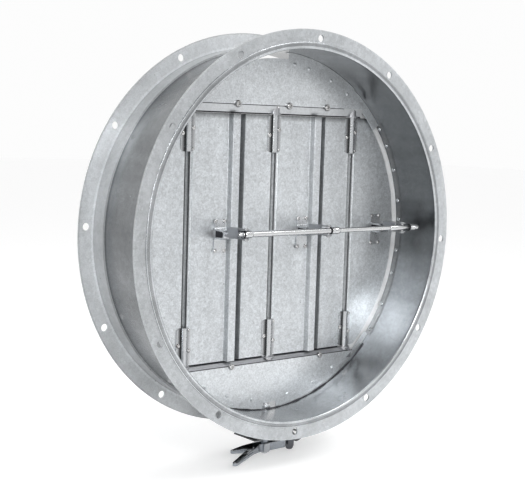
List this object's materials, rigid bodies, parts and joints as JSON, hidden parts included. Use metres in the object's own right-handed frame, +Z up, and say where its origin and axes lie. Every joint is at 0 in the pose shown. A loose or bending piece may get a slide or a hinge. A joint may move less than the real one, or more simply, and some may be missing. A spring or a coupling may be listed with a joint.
{
  "type": "round volume control damper",
  "caption": "Round flanged sheet-metal duct damper with parallel vertical blades joined by a link rod and turned by a forked hand lever with a slotted locking quadrant below.",
  "frame": {"origin": "centre of the front flange's bolting face", "axes": "+Z up along the blade shafts, away from the hand lever; +Y along the duct from the front flange to the rear flange; +X to the right seen from the front"},
  "size_m": [0.6626, 0.1624, 0.7118],
  "materials": {
    "casing_sheet": "galvanised sheet",
    "flange_steel": "galvanised steel angle",
    "plate_sheet": "galvanised sheet",
    "blade_sheet": "galvanised sheet",
    "strap_steel": "galvanised strap",
    "fasteners": "zinc-plated fasteners",
    "shaft_steel": "plain round steel bar",
    "bush_metal": "sintered metal bush",
    "rod_zinc": "bright zinc-plated bar",
    "fork_steel": "dull zinc-plated strip",
    "dark_steel": "dark oiled steel",
    "lever_steel": "dull zinc-plated steel"
  },
  "bodies": {
    "casing": {"bottom_bearing_strip": "plate_sheet", "bottom_bushes": "bush_metal", "bottom_plate": "plate_sheet", "bottom_ring_left": "plate_sheet", "bottom_ring_right": "plate_sheet", "bottom_strip_screws": "fasteners", "casing_bearing": "plate_sheet", "casing_shell": "casing_sheet", "corner_plates": "plate_sheet", "front_flange": "flange_steel", "left_stop_arc": "plate_sheet", "plate_rivets": "fasteners", "quadrant_bracket": "lever_steel", "quadrant_bush": "bush_metal", "rear_flange": "flange_steel", "right_stop_arc": "plate_sheet", "top_bearing_strip": "plate_sheet", "top_bushes": "bush_metal", "top_plate": "plate_sheet", "top_ring_left": "plate_sheet", "top_ring_right": "plate_sheet", "top_strip_screws": "fasteners", "wall_rivets": "fasteners"},
    "left_blade": {"blade_1": "blade_sheet", "blade_1_top_saddle": "strap_steel", "blade_1_bottom_saddle": "strap_steel", "blade_1_top_stub": "shaft_steel", "blade_1_rivets": "fasteners", "link_bracket_1": "strap_steel", "link_fork_1": "fork_steel", "fork_rivet_1": "fasteners", "blade_1_bottom_stub": "shaft_steel"},
    "middle_blade": {"blade_2": "blade_sheet", "blade_2_top_saddle": "strap_steel", "blade_2_bottom_saddle": "strap_steel", "blade_2_top_stub": "shaft_steel", "blade_2_rivets": "fasteners", "link_bracket_2": "strap_steel", "link_fork_2": "fork_steel", "fork_rivet_2": "fasteners", "drive_shaft": "shaft_steel", "hand_lever": "lever_steel", "clamp_band": "lever_steel", "lock_bolt": "fasteners"},
    "right_blade": {"blade_3": "blade_sheet", "blade_3_top_saddle": "strap_steel", "blade_3_bottom_saddle": "strap_steel", "blade_3_top_stub": "shaft_steel", "blade_3_rivets": "fasteners", "link_bracket_3": "strap_steel", "link_fork_3": "fork_steel", "fork_rivet_3": "fasteners", "blade_3_bottom_stub": "shaft_steel"},
    "link": {"link_rod": "rod_zinc", "rod_sleeve": "rod_zinc", "rod_clamps": "rod_zinc", "rod_rings": "dark_steel", "pivot_pins": "shaft_steel"},
    "lock": {"lock_nut": "fasteners"}
  },
  "joints": [
    {"name": "middle_blade_turn", "type": "hinge", "parent": "casing", "child": "middle_blade", "pos_m": [0, 0.094, 0], "axis": [0, 0, -1], "range_deg": [0, 55]},
    {"name": "left_blade_turn", "type": "hinge", "parent": "casing", "child": "left_blade", "pos_m": [-0.175, 0.094, 0], "axis": [0, 0, -1], "range_deg": [0, 55]},
    {"name": "right_blade_turn", "type": "hinge", "parent": "casing", "child": "right_blade", "pos_m": [0.175, 0.094, 0], "axis": [0, 0, -1], "range_deg": [0, 55]},
    {"name": "link_swivel", "type": "hinge", "parent": "middle_blade", "child": "link", "pos_m": [0.066, 0.024, 0], "axis": [0, 0, -1], "range_deg": [-55, 0]},
    {"name": "lock_nut_turn", "type": "hinge", "parent": "middle_blade", "child": "lock", "pos_m": [0.056, 0.094, -0.369], "axis": [0, 0, -1], "range_deg": [0, 180]}
  ],
  "couplings": [
    {"joint": "left_blade_turn", "follows": "middle_blade_turn", "ratio": 1},
    {"joint": "right_blade_turn", "follows": "middle_blade_turn", "ratio": 1},
    {"joint": "link_swivel", "follows": "middle_blade_turn", "ratio": -1}
  ]
}
